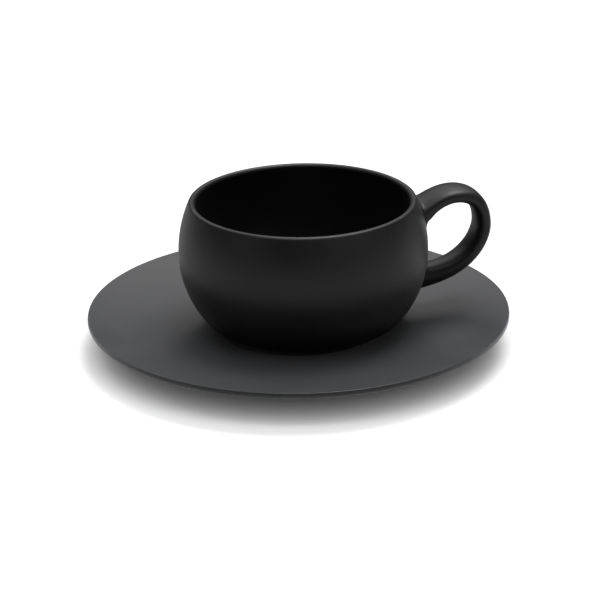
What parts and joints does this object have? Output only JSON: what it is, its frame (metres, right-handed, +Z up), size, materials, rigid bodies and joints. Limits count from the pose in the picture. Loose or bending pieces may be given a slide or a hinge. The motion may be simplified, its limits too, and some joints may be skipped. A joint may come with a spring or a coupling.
{
  "type": "cappuccino cup with saucer",
  "caption": "Matte black stoneware cappuccino cup with a round bowl and a strap loop handle, standing in the well of a wide shallow saucer.",
  "frame": {"origin": "centre of the saucer's base, on the surface it stands on", "axes": "+Z up along the saucer's axis, +X from the cup towards its handle"},
  "size_m": [0.16, 0.16, 0.0587],
  "materials": {
    "matte_black_glaze": "matte black glaze with a soft satin sheen"
  },
  "bodies": {
    "saucer": {"saucer": "matte_black_glaze"},
    "cup": {"cup_body": "matte_black_glaze", "cup_handle": "matte_black_glaze"}
  },
  "joints": [
    {"name": "cup_lift", "type": "slide", "parent": "saucer", "child": "cup", "axis": [0, 0, 1], "range_m": [0, 0.1]}
  ]
}
